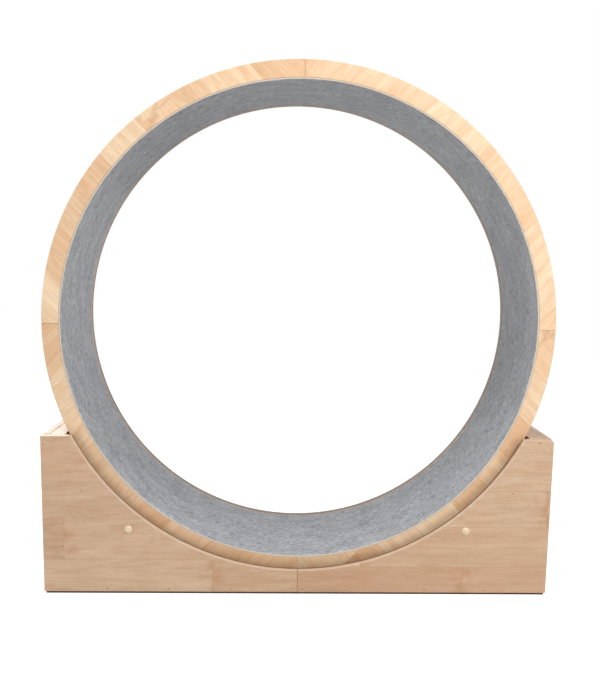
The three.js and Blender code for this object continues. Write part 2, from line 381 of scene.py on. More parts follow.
# %% Growth rings and knots
KNOT_SHARE = 0.2  # of the cells that hold one
KNOT_CELL_MM = (190, 80, 80)
SWELL_MM = (600, 66)
RINGS_PER_SWELL = 11.0
RAGGED = 0.6  # how far the fibres push a ring's edge about


def growth_rings(tree, own, fibres, noise):
    """The dark late wood of each ring from 0 to 1, and the mask of the knots."""
    place = vectors(tree, "MULTIPLY", own, per_mm(*KNOT_CELL_MM))
    cells = put(tree, "ShaderNodeTexVoronoi", {"Vector": place, "Scale": 1.0})
    drawn = put(tree, "ShaderNodeSeparateXYZ", {0: cells.outputs["Color"]})
    here = maths(tree, "GREATER_THAN", drawn, 1 - KNOT_SHARE)
    reach = ranged(tree, cells, 0.0, 0.42, 0.22, 0.0, interpolation_type="SMOOTHERSTEP")
    pull = maths(tree, "MULTIPLY", reach, here)
    core = ranged(tree, cells, 0.015, 0.11, 1.0, 0.0, interpolation_type="SMOOTHSTEP")
    knot = maths(tree, "MULTIPLY", core, here)
    swell = maths(tree, "ADD", noise(*SWELL_MM, 1.0, 0.3), pull)
    ragged = maths(tree, "MULTIPLY", fibres, RAGGED)
    rings = maths(tree, "MULTIPLY_ADD", swell, RINGS_PER_SWELL, ragged)
    ring = maths(tree, "FRACT", rings)
    darkens = ranged(tree, ring, 0.3, 0.85, interpolation_type="SMOOTHSTEP")
    ends = ranged(tree, ring, 0.88, 1.0, 1.0, 0.0)
    late = maths(tree, "MULTIPLY", darkens, ends)
    return late, knot


# %% The timber material
PLANK_OWN = (5.1, 0.9, 2.3)  # metres by which a plank's random colour moves its figure
FIBRE_MM = (110, 2.6)
RIPPLE_MM = 6.5  # of the marks that a planing machine leaves
KNOTTY_END_MM = 34  # a plank is cut off at a knot, so the wood is browner there
KNOT_CORE, KNOT_HALO = "#8A6444", "#A8714A"
PAINTED_HIGHLIGHT_TINT = "#F6E2D2"  # a painted highlight: paler colour along the rounded rim of the cradle's cut-out


def timber(name, pale, deep, blush, sawn_and_shade_colour, plank_mm, length_mm, contrast, roughness):
    made, tree = new_material(name)
    grain = put(tree, "ShaderNodeAttribute", attribute_name="grain").outputs["Vector"]
    along, _, across = put(tree, "ShaderNodeSeparateXYZ", {0: grain}).outputs
    draw, gap, cut_gap = planks(tree, along, across, plank_mm, length_mm)
    tone_draw, hue_draw, _ = put(tree, "ShaderNodeSeparateXYZ", {0: draw}).outputs
    moved = vectors(tree, "MULTIPLY", draw, PLANK_OWN)
    own = vectors(tree, "ADD", grain, moved)

    def noise(length, width, detail, dissolve=0.5):
        return noise_of(tree, own, (length, width, width), detail, dissolve)

    fibres = noise(*FIBRE_MM, 3.0, 0.6)
    late, knot = growth_rings(tree, own, fibres, noise)
    sway = maths(tree, "MULTIPLY", noise(30, 30, 1.0), 7.0)
    phase = maths(tree, "MULTIPLY_ADD", along, 2 * math.pi / (RIPPLE_MM * MM), sway)
    wave = maths(tree, "SINE", phase)
    patch = ranged(tree, noise(70, 24, 1.0), 0.6, 0.72)
    ripple = maths(tree, "MULTIPLY", wave, patch)
    flush = ranged(tree, noise(70, 16, 3.0), 0.54, 0.72)
    near_end = ranged(tree, cut_gap, 4.0, KNOTTY_END_MM, 1.0, 0.0)
    wavy = ranged(tree, noise(26, 30, 2.0), 0.46, 0.62)
    knotty = maths(tree, "MULTIPLY", near_end, wavy)
    # The first attribute is end grain and painted shade, the second a painted highlight.
    sawn_and_painted_shade = put(tree, "ShaderNodeAttribute", attribute_name="sawn_and_painted_shade").outputs["Fac"]
    painted_highlight = put(tree, "ShaderNodeAttribute", attribute_name="painted_highlight").outputs["Fac"]

    # Each figure has its mean and its weight, and each stain has its mask, its share and its colour.
    figures = ((late, 0.3, 0.16), (fibres, 0.5, 0.6), (noise(16, 2.0, 3.0), 0.5, 0.7),
               (noise(120, 22, 3.0), 0.5, 0.9), (ripple, 0.0, 0.08), (tone_draw, 0.5, 0.42))
    tone = weighted_sum(tree, [(figure, mean, weight * contrast) for figure, mean, weight in figures])
    colour = blended(tree, tone, linear(pale), linear(deep))
    joint = ranged(tree, gap, 0.4, 1.6, 1.0, 0.0)
    stains = ((hue_draw, 0.5 * contrast, blush), (flush, 0.55 * contrast, blush),
              (knotty, 0.5 * contrast, KNOT_HALO), (joint, 0.35, deep), (knot, 0.6, KNOT_CORE),
              (sawn_and_painted_shade, 0.9, sawn_and_shade_colour), (painted_highlight, 0.25, PAINTED_HIGHLIGHT_TINT))
    for mask, share, tint in stains:
        amount = maths(tree, "MULTIPLY", mask, share)
        colour = blended(tree, amount, colour, linear(tint))

    gloss = maths(tree, "MULTIPLY_ADD", fibres, 0.22, roughness - 0.11)
    relief = maths(tree, "MULTIPLY_ADD", joint, -0.6, fibres)
    surface(tree, {"Base Color": colour, "Roughness": gloss, "IOR": 1.5}, 0.35, 0.15, relief)
    return made


# Alder is a fine, quiet wood between pink and tan. The base is coloured darker than the rings.
# On the base and the rings, the colour for sawn faces is also painted shade.
BASE_TIMBER = timber("Edge-glued alder, sanded and satin lacquered", "#D6BEA2", "#A98463", "#BC8B69",
                     "#6E4D33", plank_mm=82, length_mm=620, contrast=0.8, roughness=0.42)
RING_TIMBER = timber("Edge-glued alder for the rings, satin lacquered", "#EFD9B9", "#C49C72", "#D39A6C",
                     "#6F6058", plank_mm=85, length_mm=640, contrast=0.85, roughness=0.42)
# Bare pine is yellower and more matt, and a batten is one piece of it. Bent ply is peeled, so its figure is
# broad, and it has no joints.
BATTEN_TIMBER = timber("Planed pine, uncoated", "#E2C08E", "#B0824E", "#D2A065",
                       "#B58C5B", plank_mm=400, length_mm=2600, contrast=1.0, roughness=0.62)
PLYWOOD = timber("Bent birch plywood, rotary cut and sanded", "#DFC49A", "#B7925F", "#D3AA75",
                 "#A98458", plank_mm=900, length_mm=2400, contrast=0.8, roughness=0.6)
print("timber nodes:", len(BASE_TIMBER.node_tree.nodes))

# %% [markdown]
# ## Needle felt
#
# The carpet is needle-punched felt: loose fibres of dark, middle and pale grey, pushed into a mat, so it
# has no weave and no pile that lies one way. Stretching it round the wheel draws the fibres into short
# streaks along its length. Its own flat place is kept as the attribute "lay": x along the strip and y
# across it. Single fibres are a tenth of a millimetre, too fine to show, so the streaks are drawn as the
# bundles that do show.

# %% The carpet material
FELT_TONES = ((0.26, "#6A6A6D"), (0.42, "#909194"), (0.52, "#A2A2A5"), (0.62, "#B1B2B4"), (0.78, "#CDCDD0"))
BLUE_FIBRE = "#94A2B6"
BACKING = "#CBBDAC"  # the pale backing that shows where the strip is cut
FELT_DEPTH_MM = 1000  # the strip is flat, so its noise doesn't change with depth


def felt(name):
    made, tree = new_material(name)
    lay = put(tree, "ShaderNodeAttribute", attribute_name="lay").outputs["Vector"]

    def noise(length, width, detail, dissolve):
        return noise_of(tree, lay, (length, width, FELT_DEPTH_MM), detail, dissolve)

    bundles = noise(13, 5, 3.0, 0.65)
    hairs = noise(4.6, 1.8, 3.0, 0.6)
    clouds = noise(60, 30, 2.0, 0.5)
    mixed = weighted_sum(tree, ((bundles, 0.5, 1.0), (hairs, 0.5, 0.65), (clouds, 0.5, 0.35)))
    blend = put(tree, "ShaderNodeValToRGB", {0: mixed})
    stops = blend.color_ramp.elements
    for place, tint in FELT_TONES[1:-1]:
        stops.new(place).color = linear(tint)
    for stop, (place, tint) in ((stops[0], FELT_TONES[0]), (stops[-1], FELT_TONES[-1])):
        stop.position = place
        stop.color = linear(tint)
    blue = ranged(tree, noise(22, 6, 2.0, 0.6), 0.5, 0.72, 0.0, 0.45)
    tinted = blended(tree, blue, blend, linear(BLUE_FIBRE))
    sawn_and_painted_shade = put(tree, "ShaderNodeAttribute", attribute_name="sawn_and_painted_shade").outputs["Fac"]
    colour = blended(tree, sawn_and_painted_shade, tinted, linear(BACKING))
    height = maths(tree, "MULTIPLY_ADD", hairs, 0.6, bundles)
    look = {"Base Color": colour, "Roughness": 0.95, "Sheen Weight": 0.15, "Sheen Roughness": 0.6}
    surface(tree, look, 0.45, 0.7, height)
    return made


FELT = felt("Needle-punched polyester felt, mottled grey")

# %% [markdown]
# ## Metal, plastic and rubber
#
# These finishes are plain, but none is one flat colour. Plated and ground steel is a little dull in
# patches. Moulded nylon, ABS and rubber have a fine grain from the mould.

# %% The small parts' materials
PATCH_MM = 14


def speckled(name, light, dark, roughness, metallic, grain_mm, bump_mm):
    """A finish that wanders between two colours, with a fine grain."""
    made, tree = new_material(name)
    place = put(tree, "ShaderNodeTexCoord").outputs["Object"]
    patches = put(tree, "ShaderNodeTexNoise", {"Vector": place, "Scale": 1000 / PATCH_MM, "Detail": 3.0})
    grit = put(tree, "ShaderNodeTexNoise", {"Vector": place, "Scale": 1000 / grain_mm, "Detail": 2.0})
    share = weighted_sum(tree, ((patches, 0.5, 1.8), (grit, 0.5, 0.8)))
    colour = blended(tree, share, linear(light), linear(dark))
    gloss = maths(tree, "MULTIPLY_ADD", patches, 0.2, roughness - 0.1)
    surface(tree, {"Base Color": colour, "Roughness": gloss, "Metallic": metallic}, 0.5, bump_mm, grit)
    return made


# Zinc plating is a cool and slightly milky metal.
ZINC_STEEL = speckled("Zinc-plated steel", "#C9CBCD", "#A9ACAF", 0.34, 1.0, 0.8, 0.02)
# The rings of a bearing are ground, so they are smoother and brighter.
BEARING_STEEL = speckled("Ground bearing steel", "#D4D5D6", "#BFC1C3", 0.22, 1.0, 0.5, 0.01)
# Yellow passivation gives zinc a warm, dull bronze colour.
SCREW_BRONZE = speckled("Yellow-zinc screw", "#C09C78", "#A07C5A", 0.5, 1.0, 0.6, 0.02)
# Nylon is off-white and waxy, neither matt nor shiny.
NYLON = speckled("Moulded nylon, off-white", "#ECEAE3", "#DAD7CC", 0.45, 0.0, 0.9, 0.03)
# Rubber is nearly matt and gives little light back.
RUBBER = speckled("Moulded rubber, dark brown", "#4A3328", "#2B1E18", 0.8, 0.0, 1.1, 0.1)
# The caps are ABS with the soft shine of a polished mould, and their colour is even.
CAP_PLASTIC = speckled("Moulded ABS in a timber colour", "#DFCBAC", "#D2BA96", 0.4, 0.0, 0.7, 0.02)

# %% [markdown]
# ## The rings
#
# Each ring is sawn from four quadrants of board that meet at butt joints. A quadrant's shape follows a
# rule, so Geometry Nodes make it: a straight moulding with rounded edges is drawn first, and Set Position
# bends it round the axis. The same tree, with other numbers, makes the deck panels that the carpet lies on.

# %% How a tree starts and ends, and how it is run
def new_tree(name, output, kinds):
    """An empty tree, the sockets of its named inputs, and the identifiers that a modifier sets them by."""
    made = bpy.data.node_groups.new(name, "GeometryNodeTree")
    made.interface.new_socket(output, in_out="OUTPUT", socket_type="NodeSocketGeometry")
    identifiers = {}
    for label, kind in kinds.items():
        socket = made.interface.new_socket(label, in_out="INPUT", socket_type=f"NodeSocket{kind}")
        identifiers[label] = socket.identifier
    return made, put(made, "NodeGroupInput").outputs, identifiers


def end_tree(tree, geometry, finish):
    """Instances are made real, because the export drops them, and get their material."""
    realized = put(tree, "GeometryNodeRealizeInstances", {"Geometry": geometry})
    finished = put(tree, "GeometryNodeSetMaterial", {"Geometry": realized, "Material": finish})
    put(tree, "NodeGroupOutput", {0: finished})


def from_tree(tree, identifiers, values, start=None):
    """Runs a tree on a mesh and returns the result as a plain mesh."""
    carrier = linked("carrier", start or bpy.data.meshes.new("carrier"))
    modifier = carrier.modifiers.new("nodes", "NODES")
    modifier.node_group = tree
    for label, value in values.items():
        modifier[identifiers[label]] = value
    return evaluated(carrier)


# %% A tree that bends a moulding round the wheel's axis
arc_tree, given, arc_inputs = new_tree("Moulding bent round the axis", "Moulding", {
    "Inner radius": "Float", "Outer radius": "Float", "Front": "Float", "Rear": "Float",
    "Edge rounding": "Float", "Start angle": "Float", "Sweep": "Float", "Steps": "Int",
    "Axis height": "Float", "Finish": "Material"})
line = put(arc_tree, "GeometryNodeCurvePrimitiveLine", {"Start": (0, 0, 0), "End": (1, 0, 0)})
stations = put(arc_tree, "GeometryNodeResampleCurve", {"Curve": line, "Count": given["Steps"]})
thick = maths(arc_tree, "SUBTRACT", given["Outer radius"], given["Inner radius"])
wide = maths(arc_tree, "SUBTRACT", given["Rear"], given["Front"])
section = put(arc_tree, "GeometryNodeCurvePrimitiveQuadrilateral", {"Width": wide, "Height": thick})
eased = put(arc_tree, "GeometryNodeFilletCurve",
            {"Curve": section, "Count": 4, "Radius": given["Edge rounding"]}, mode="POLY")
straight = put(arc_tree, "GeometryNodeCurveToMesh",
               {"Curve": stations, "Profile Curve": eased, "Fill Caps": True})

# %% The bend: x along the line becomes an angle, and z becomes a radius
here = put(arc_tree, "GeometryNodeInputPosition")
share, sideways, outwards = put(arc_tree, "ShaderNodeSeparateXYZ", {0: here}).outputs
angle = maths(arc_tree, "MULTIPLY_ADD", share, given["Sweep"], given["Start angle"])
radius_sum = maths(arc_tree, "ADD", given["Outer radius"], given["Inner radius"])
radius = maths(arc_tree, "MULTIPLY_ADD", radius_sum, 0.5, outwards)
cosine = maths(arc_tree, "COSINE", angle)
sine = maths(arc_tree, "SINE", angle)
bent_x = maths(arc_tree, "MULTIPLY", radius, cosine)
bent_z = maths(arc_tree, "MULTIPLY_ADD", radius, sine, given["Axis height"])
depth_sum = maths(arc_tree, "ADD", given["Rear"], given["Front"])
bent_y = maths(arc_tree, "MULTIPLY_ADD", depth_sum, 0.5, sideways)
bent_place = put(arc_tree, "ShaderNodeCombineXYZ", {0: bent_x, 1: bent_y, 2: bent_z})
bent = put(arc_tree, "GeometryNodeSetPosition", {"Geometry": straight, "Position": bent_place})
end_tree(arc_tree, bent, given["Finish"])
print("nodes in the moulding's tree:", len(arc_tree.nodes))

# %% A quarter of the wheel
BUTT_EASE = 0.8 * MM
BUTT_GAP = 0.3 * MM


def quadrant(index, inner, outer, front, rear, rounding, finish, steps):
    """A quarter of the wheel between two radii, from an angle of index quarters on."""
    end = BUTT_GAP / 2 / inner
    sizes = {"Inner radius": inner, "Outer radius": outer, "Front": front, "Rear": rear,
             "Edge rounding": rounding, "Start angle": index * QUARTER + end, "Sweep": QUARTER - 2 * end,
             "Steps": steps, "Axis height": axis_height, "Finish": finish}
    bent_mesh = from_tree(arc_tree, arc_inputs, sizes)
    sewn = mesh_from("quadrant", positions(bent_mesh), [tuple(face.vertices) for face in bent_mesh.polygons])
    return shaded(bevelled(sewn, BUTT_EASE, 2, BLUNT_CORNER))


# %% Eight ring boards
# A quadrant is sawn from a board whose grain runs along the line that halves the quadrant. Its sawn inner
# edge is bare and dark, partly its own tone and partly painted shade. The carpet covers it in front, and
# it shows at the rear. The outer edge runs on the rollers, and is darker than the faces but not as dark.
RING_ROUNDING = 0.6 * MM
RING_STEPS = 97
OUTER_EDGE = 0.35  # how far the outer edge goes towards the tone of the inner one
HAIR = 0.1 * MM  # a face on a circle lies no farther from it
for face in ("front", "rear"):
    for index, place in enumerate(("upper_right", "upper_left", "lower_left", "lower_right")):
        node = f"{face}_ring_{place}"
        low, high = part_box(node)
        mesh = quadrant(index, *ring_radii[face], low.y, high.y, RING_ROUNDING, RING_TIMBER, RING_STEPS)
        distances = from_axis(table(mesh.polygons, "center"))
        inner, outer = ring_radii[face]
        # The inner edge's dark colour is partly painted shade.
        mark_faces(mesh, "sawn_and_painted_shade", (distances < inner + HAIR) + OUTER_EDGE * (distances > outer - HAIR))
        bisector = (index + 0.5) * QUARTER
        out_x, out_z = math.cos(bisector), math.sin(bisector)
        lay_grain(mesh, (out_x, 0, out_z), (-out_z, 0, out_x))
        made = piece(f"{node}_board", mesh, RING_TIMBER, "wheel", "ring_board", node)
print("ring board:", len(mesh.polygons), "faces,", [round(x, 4) for x in made.dimensions], "m")

# %% [markdown]
# ## The deck and its battens
#
# Four sheets of bent plywood make the round floor. Their joints lie on the battens, half way between the
# joints of the rings. Their grain runs across the wheel, because a sheet bends most easily that way. The
# battens are straight, so they are made from the corners of the CAD solids: merged, cleared of the lines
# that only cut flat faces into triangles, and eased.

# %% Bent deck sheets
DECK_EASE = 0.6 * MM
DECK_STEPS = 73
SHEET_SHIFT = 2.1  # metres along the endless sheet between two that are cut from it
SHEET_PLACES = ("top", "left", "bottom", "right")
for index, place in enumerate(SHEET_PLACES):
    low, high = deck_box
    mesh = quadrant(index + 0.5, deck_inner, deck_outer, low.y, high.y, DECK_EASE, PLYWOOD, DECK_STEPS)
    points = positions(mesh)
    turn = turn_from((index + 0.25) * QUARTER, points)
    depth_in = from_axis(points) - deck_inner
    store(mesh, "grain", np.stack([points[:, 1] + SHEET_SHIFT * index, depth_in, turn * deck_inner], axis=1))
    mark_end_grain(mesh, (0, 1, 0))
    piece(f"deck_sheet_{place}", mesh, PLYWOOD, "wheel", "deck_plywood", f"deck_panel_{place}")
print("deck sheet:", len(mesh.polygons), "faces")


# %% Straight boards from the corners of their CAD solids
SAME_CORNER = 1e-6  # metres between the corners of two CAD triangles that meet
FLAT = math.radians(1)  # an edge that turns by less only cuts a flat face
BATTEN_EASE, BOARD_EASE, FOOT_EASE = 1.5 * MM, 1.0 * MM, 0.8 * MM
BATTENS = 8


def board_from(node, ease):
    shape = bmesh.new()
    shape.from_mesh(frame["nodes"][node].data)
    bmesh.ops.remove_doubles(shape, verts=shape.verts, dist=SAME_CORNER)
    bmesh.ops.dissolve_limit(shape, angle_limit=FLAT, verts=shape.verts, edges=shape.edges)
    return bevelled(mesh_of(shape, node), ease)


for index in range(BATTENS):
    tilt = index * QUARTER / 2
    mesh = shaded(board_from(f"cross_batten_{index + 1}", BATTEN_EASE))
    lay_grain(mesh, (0, 1, 0), (-math.sin(tilt), 0, math.cos(tilt)))
    piece(f"batten_{index + 1}", mesh, BATTEN_TIMBER, "wheel", "batten_timber", f"cross_batten_{index + 1}")
print("batten:", len(mesh.polygons), "faces")

# %% [markdown]
# ## The carpet
#
# One strip of felt is laid on the deck with its ends butted at the top. It runs over the inner edge of the
# front ring up to its face, where its cut edge shows as a light line, and ends at the rear ring, whose own
# edge stays bare. It is a sheet, and the size that it was cut to is printed. Its surface is modelled, not
# only bumped: a fine grid over the flat strip is raised and sunk by a smooth random field, streaked along
# the strip, and wrapped round the axis.

# %% The felt's relief
CARPET_STEPS = 900  # along the strip
CARPET_ROWS = 56  # across it
CARPET_RELIEF = 0.35 * MM
STREAK, STREAK_ACROSS = 12 * MM, 6 * MM
RELIEF_SEED = 7
carpet_low, carpet_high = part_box("running_carpet")
carpet_width = carpet_high.y - carpet_low.y
carpet_length = 2 * math.pi * (carpet_inner + carpet_outer) / 2


def streaked_field(rows, columns, seed):
    """A random field from -1 to 1 that repeats along the strip, smoothed more along it than across."""
    draw = np.random.default_rng(seed).standard_normal((rows, columns))
    across = np.fft.fftfreq(rows, carpet_width / rows)[:, None] * STREAK_ACROSS
    along = np.fft.fftfreq(columns, carpet_length / columns)[None, :] * STREAK
    smooth = np.fft.ifft2(np.fft.fft2(draw) * np.exp(-(math.pi ** 2) / 2 * (across ** 2 + along ** 2))).real
    return np.clip(smooth / (3 * smooth.std()), -1, 1)


# %% The laid strip
CUT_ROWS = np.array([0, 0.4, 1.0, 2.0]) * MM  # from a cut edge, where the felt is pressed down
CUT_DROP = 1.3 * MM  # how far it is pressed down at the edge
CUT_REACH = 0.9 * MM  # and how fast it rises again
EVEN_FROM = 4 * MM  # the other rows are evenly spaced from here
BUTT_HALF = 0.03 * MM
inner_rows = np.linspace(carpet_low.y + EVEN_FROM, carpet_high.y - EVEN_FROM, CARPET_ROWS)
widths = np.concatenate([carpet_low.y + CUT_ROWS, inner_rows, carpet_high.y - CUT_ROWS[::-1]])
field = streaked_field(CARPET_ROWS, CARPET_STEPS + 1, RELIEF_SEED)
relief = np.pad(field, ((len(CUT_ROWS), len(CUT_ROWS)), (0, 0)), mode="edge")
from_edge = np.minimum(widths - widths[0], widths[-1] - widths)
pressed = CUT_DROP * np.exp(-from_edge / CUT_REACH)
upper = carpet_inner + pressed[:, None] + CARPET_RELIEF * (1 + relief) / 2
butt_turn = BUTT_HALF / carpet_inner
turns = QUARTER + np.linspace(butt_turn, 2 * math.pi - butt_turn, CARPET_STEPS + 1)
loops = np.concatenate([upper, np.full((2, CARPET_STEPS + 1), carpet_outer)])
loop_y = np.concatenate([widths, widths[[-1, 0]]])
points = np.stack([loops * np.cos(turns), np.broadcast_to(loop_y[:, None], loops.shape),
                   loops * np.sin(turns) + axis_height], axis=2)
rows, stride = loops.shape
faces = [(j * stride + i, j * stride + i + 1, (j + 1) % rows * stride + i + 1, (j + 1) % rows * stride + i)
         for j in range(rows) for i in range(CARPET_STEPS)]
ends = [tuple(j * stride for j in range(rows)), tuple(j * stride + CARPET_STEPS for j in range(rows))]
mesh = smoothed(mesh_from("carpet", points.reshape(-1, 3), faces + ends), BLUNT_CORNER)
laid = positions(mesh)
turn = turn_from(QUARTER, laid)
store(mesh, "lay", np.stack([turn * carpet_inner, laid[:, 1], 0 * turn], axis=1))
mark_end_grain(mesh, (0, 1, 0))
carpet = piece("carpet_strip", mesh, FELT, "wheel", "carpet", "running_carpet")
print(f"carpet: {len(mesh.polygons)} faces, cut to {carpet_width:.4f} by {carpet_length:.3f} m")

# %% [markdown]
# ## Where the screws go
#
# The base is screwed together through its panels. Each screw has a countersink, which is a real hole here,
# cut with a Boolean modifier before the shading is set. A place is kept with the direction that the screw
# faces. The front's screws are known, the rear's are the same ones mirrored, and those of the end boards
# are likely.

# %% Screw places in millimetres, from the middle of the base and the wheel's axis
BRACE_SCREWS = [(492, -314.5), (465.5, -354.8)]
BOTTOM_SCREWS = [(12 + 134 * step, -575.5) for step in range(4)]
TOP_SCREWS = [(519, -242)]
END_SCREWS = [(543, -254)]
PANEL_SCREWS = BRACE_SCREWS + BOTTOM_SCREWS + TOP_SCREWS + END_SCREWS
END_BOARD_SCREWS = [(y, z) for y in (-110, 0, 110) for z in (-242, -574.5)]
SINK_TOP, SINK_FOOT, SINK_DEPTH = 2.15 * MM, 1.4 * MM, 1.9 * MM
PAST = 1.0 * MM  # how far a cutter starts outside the face
SINK_SIDES, HOLE_SIDES = 20, 40


def panel_screws(to_right, to_rear):
    face_y = panel_box[0].y * -to_rear
    facing = (0, to_rear, 0)
    return [((to_right * x * MM, face_y, axis_height + z * MM), facing) for x, z in PANEL_SCREWS]


def end_screws(to_right):
    face_x = panel_box[1].x * to_right
    return [((face_x, y * MM, axis_height + z * MM), (to_right, 0, 0)) for y, z in END_BOARD_SCREWS]


def add_cone(shape, place, facing, above, below, radius_above, radius_below, sides):
    """A cone or cylinder for cutting, from above a face to below it."""
    turn = Vector(facing).to_track_quat("Z", "Y").to_matrix().to_4x4()
    middle = Matrix.Translation(Vector(place) + Vector(facing) * (above - below) / 2)
    bmesh.ops.create_cone(shape, cap_ends=True, segments=sides, radius1=radius_below, radius2=radius_above,
                          depth=above + below, matrix=middle @ turn)


def drilled(mesh, screws, holes=()):
    """The mesh with countersinks and other holes cut. A hole is (place, facing, radius, depth)."""
    shape = bmesh.new()
    wider = SINK_TOP + PAST * (SINK_TOP - SINK_FOOT) / SINK_DEPTH
    for place, facing in screws:
        add_cone(shape, place, facing, PAST, SINK_DEPTH, wider, SINK_FOOT, SINK_SIDES)
    for past, (place, facing, radius, depth) in enumerate(holes, start=1):
        add_cone(shape, place, facing, past * PAST, depth, radius, radius, HOLE_SIDES)
    cutter = linked("cutter", mesh_of(shape, "cutters"))
    made = modified(mesh, "BOOLEAN", operation="DIFFERENCE", solver="EXACT", use_self=True, object=cutter)
    bpy.data.objects.remove(cutter)
    return made


print(len(PANEL_SCREWS), "screws in each half panel,", len(END_BOARD_SCREWS), "in each end board")

# %% [markdown]
# ## The base
#
# The front of the base is two boards that meet under the wheel, each with half of the round cut-out. The
# rear is the same. A panel is an outline given a thickness, with an eased rim, and then the holes for its
# screws and its axle, which has a counterbore for the nut. The inner half of the cut-out's wall is painted
# dark as painted shade, so beside the wheel one sees a thin dark line. Next to it, the rest of the wall and
# the eased rim are painted paler as a painted highlight.

# %% Outline of half a panel
CRADLE_RADIUS = 546 * MM
CRADLE_RISE = 14 * MM  # its centre above the wheel's axis
CORNER_ROUND = 6 * MM
CRADLE_STEPS, CORNER_STEPS = 110, 8


def arc(centre_x, centre_z, radius, start, end, steps):
    """Points (x, z) of an arc."""
    return [(centre_x + radius * math.cos(a), centre_z + radius * math.sin(a))
            for a in np.linspace(start, end, steps)]


def cradle_outline(rounded):
    """The right half of a panel, anticlockwise from its lower corner at the middle joint."""
    (joint_x, _, bottom), (end_x, _, top) = panel_box
    centre_z = axis_height + CRADLE_RISE
    start = math.asin(joint_x / CRADLE_RADIUS) - QUARTER
    end = math.asin((top - centre_z) / CRADLE_RADIUS)
    corner = [(end_x, top)]
    if rounded:
        corner = arc(end_x - CORNER_ROUND, top - CORNER_ROUND, CORNER_ROUND, 0, QUARTER, CORNER_STEPS)
    cradle = arc(0, centre_z, CRADLE_RADIUS, end, start, CRADLE_STEPS)
    return [(joint_x, bottom), (end_x, bottom), *corner, *cradle]


# %% Four panels
PANEL_EASE = 1.3 * MM
# The painted shade covers the cut-out's wall from this depth to its inner face.
PAINTED_SHADE_DEPTH = 8.5 * MM  # from the outer face
AXLE_HOLE, POCKET_RADIUS, POCKET_DEPTH = 4.3 * MM, 8.25 * MM, 7 * MM
PLANKS_UP = {"left": 0.1966, "right": 0.1819}  # metres that lift a joint to where one is seen
panel_thickness = panel_box[1].y - panel_box[0].y
for face, to_rear in FACES:
    for side, to_right in SIDES:
        outline = [(to_right * x, z) for x, z in cradle_outline(rounded=to_right == -to_rear)]
        outer = panel_box[0].y * -to_rear
        inner = outer - to_rear * panel_thickness
        count = len(outline)
        painted_shade_from = outer - to_rear * PAINTED_SHADE_DEPTH
        points = [(x, y, z) for y in (outer, painted_shade_from, inner) for x, z in outline]
        walls = [(row + i, row + (i + 1) % count, row + count + (i + 1) % count, row + count + i)
                 for row in (0, count) for i in range(count)]
        sheets = [tuple(range(count)), tuple(range(2 * count, 3 * count))]
        blank = mesh_from("panel", points, sheets + walls)
        centre, facing = (to_right * axle_x, outer, axle_z), (0, to_rear, 0)
        pocket = (centre, facing, POCKET_RADIUS, POCKET_DEPTH)
        bore = (centre, facing, AXLE_HOLE, panel_thickness + PAST)
        mesh = shaded(drilled(bevelled(blank, PANEL_EASE), panel_screws(to_right, to_rear), [pocket, bore]))
        middles = table(mesh.polygons, "center")
        distances = from_axis(middles, axis_height + CRADLE_RISE)
        # Painted shade on the wall's inner part, and a painted highlight on the rest of the wall and the rim.
        in_painted_shade = np.abs(middles[:, 1]) < abs(painted_shade_from)
        mark_faces(mesh, "sawn_and_painted_shade", (distances < CRADLE_RADIUS + HAIR) & in_painted_shade)
        mark_faces(mesh, "painted_highlight", (distances < CRADLE_RADIUS + PANEL_EASE) & ~in_painted_shade)
        lay_grain(mesh, (1, 0, 0), (0, 0, 1), row=-PLANKS_UP[side])
        piece(f"{face}_cradle_{side}", mesh, BASE_TIMBER, "base", "base_board", f"{face}_panel_{side}")
        print(f"{face} {side} panel: {len(mesh.polygons)} faces")

# %% Straight boards of the base
ACROSS_BASE, ALONG_BASE, UP = (0, 1, 0), (1, 0, 0), (0, 0, 1)
for side, to_right in SIDES:
    mesh = shaded(drilled(board_from(f"end_board_{side}", BOARD_EASE), end_screws(to_right)))
    lay_grain(mesh, ACROSS_BASE, UP)
    piece(f"end_board_{side}_timber", mesh, BASE_TIMBER, "base", "base_board", f"end_board_{side}")
    for node, along, across in (("top_board", ACROSS_BASE, ALONG_BASE),
                                ("bottom_board", ALONG_BASE, ACROSS_BASE)):
        mesh = lay_grain(shaded(board_from(f"{node}_{side}", BOARD_EASE)), along, across)
        piece(f"{node}_{side}_timber", mesh, BASE_TIMBER, "base", "base_board", f"{node}_{side}")
    mesh = lay_grain(shaded(board_from(f"inner_brace_{side}", BOARD_EASE)), ACROSS_BASE, UP)
    piece(f"inner_brace_{side}_timber", mesh, BATTEN_TIMBER, "base", "batten_timber", f"inner_brace_{side}")
mesh = lay_grain(shaded(board_from("joining_cleat", BOARD_EASE)), ALONG_BASE, ACROSS_BASE)
piece("joining_cleat_timber", mesh, BATTEN_TIMBER, "base", "batten_timber", "joining_cleat")
for face in ("front", "rear"):
    mesh = shaded(board_from(f"foot_strip_{face}", FOOT_EASE))
    piece(f"foot_rubber_{face}", mesh, RUBBER, "base", "foot_rubber", f"foot_strip_{face}")

# %% [markdown]
# ## Screws
#
# Small countersunk screws with a cross recess repeat all over the base, so one head is made in Geometry
# Nodes and placed on points. Each point carries the direction that its screw faces, and each head is turned
# by a random angle, as a hand leaves it. The recess is cut with a Mesh Boolean.

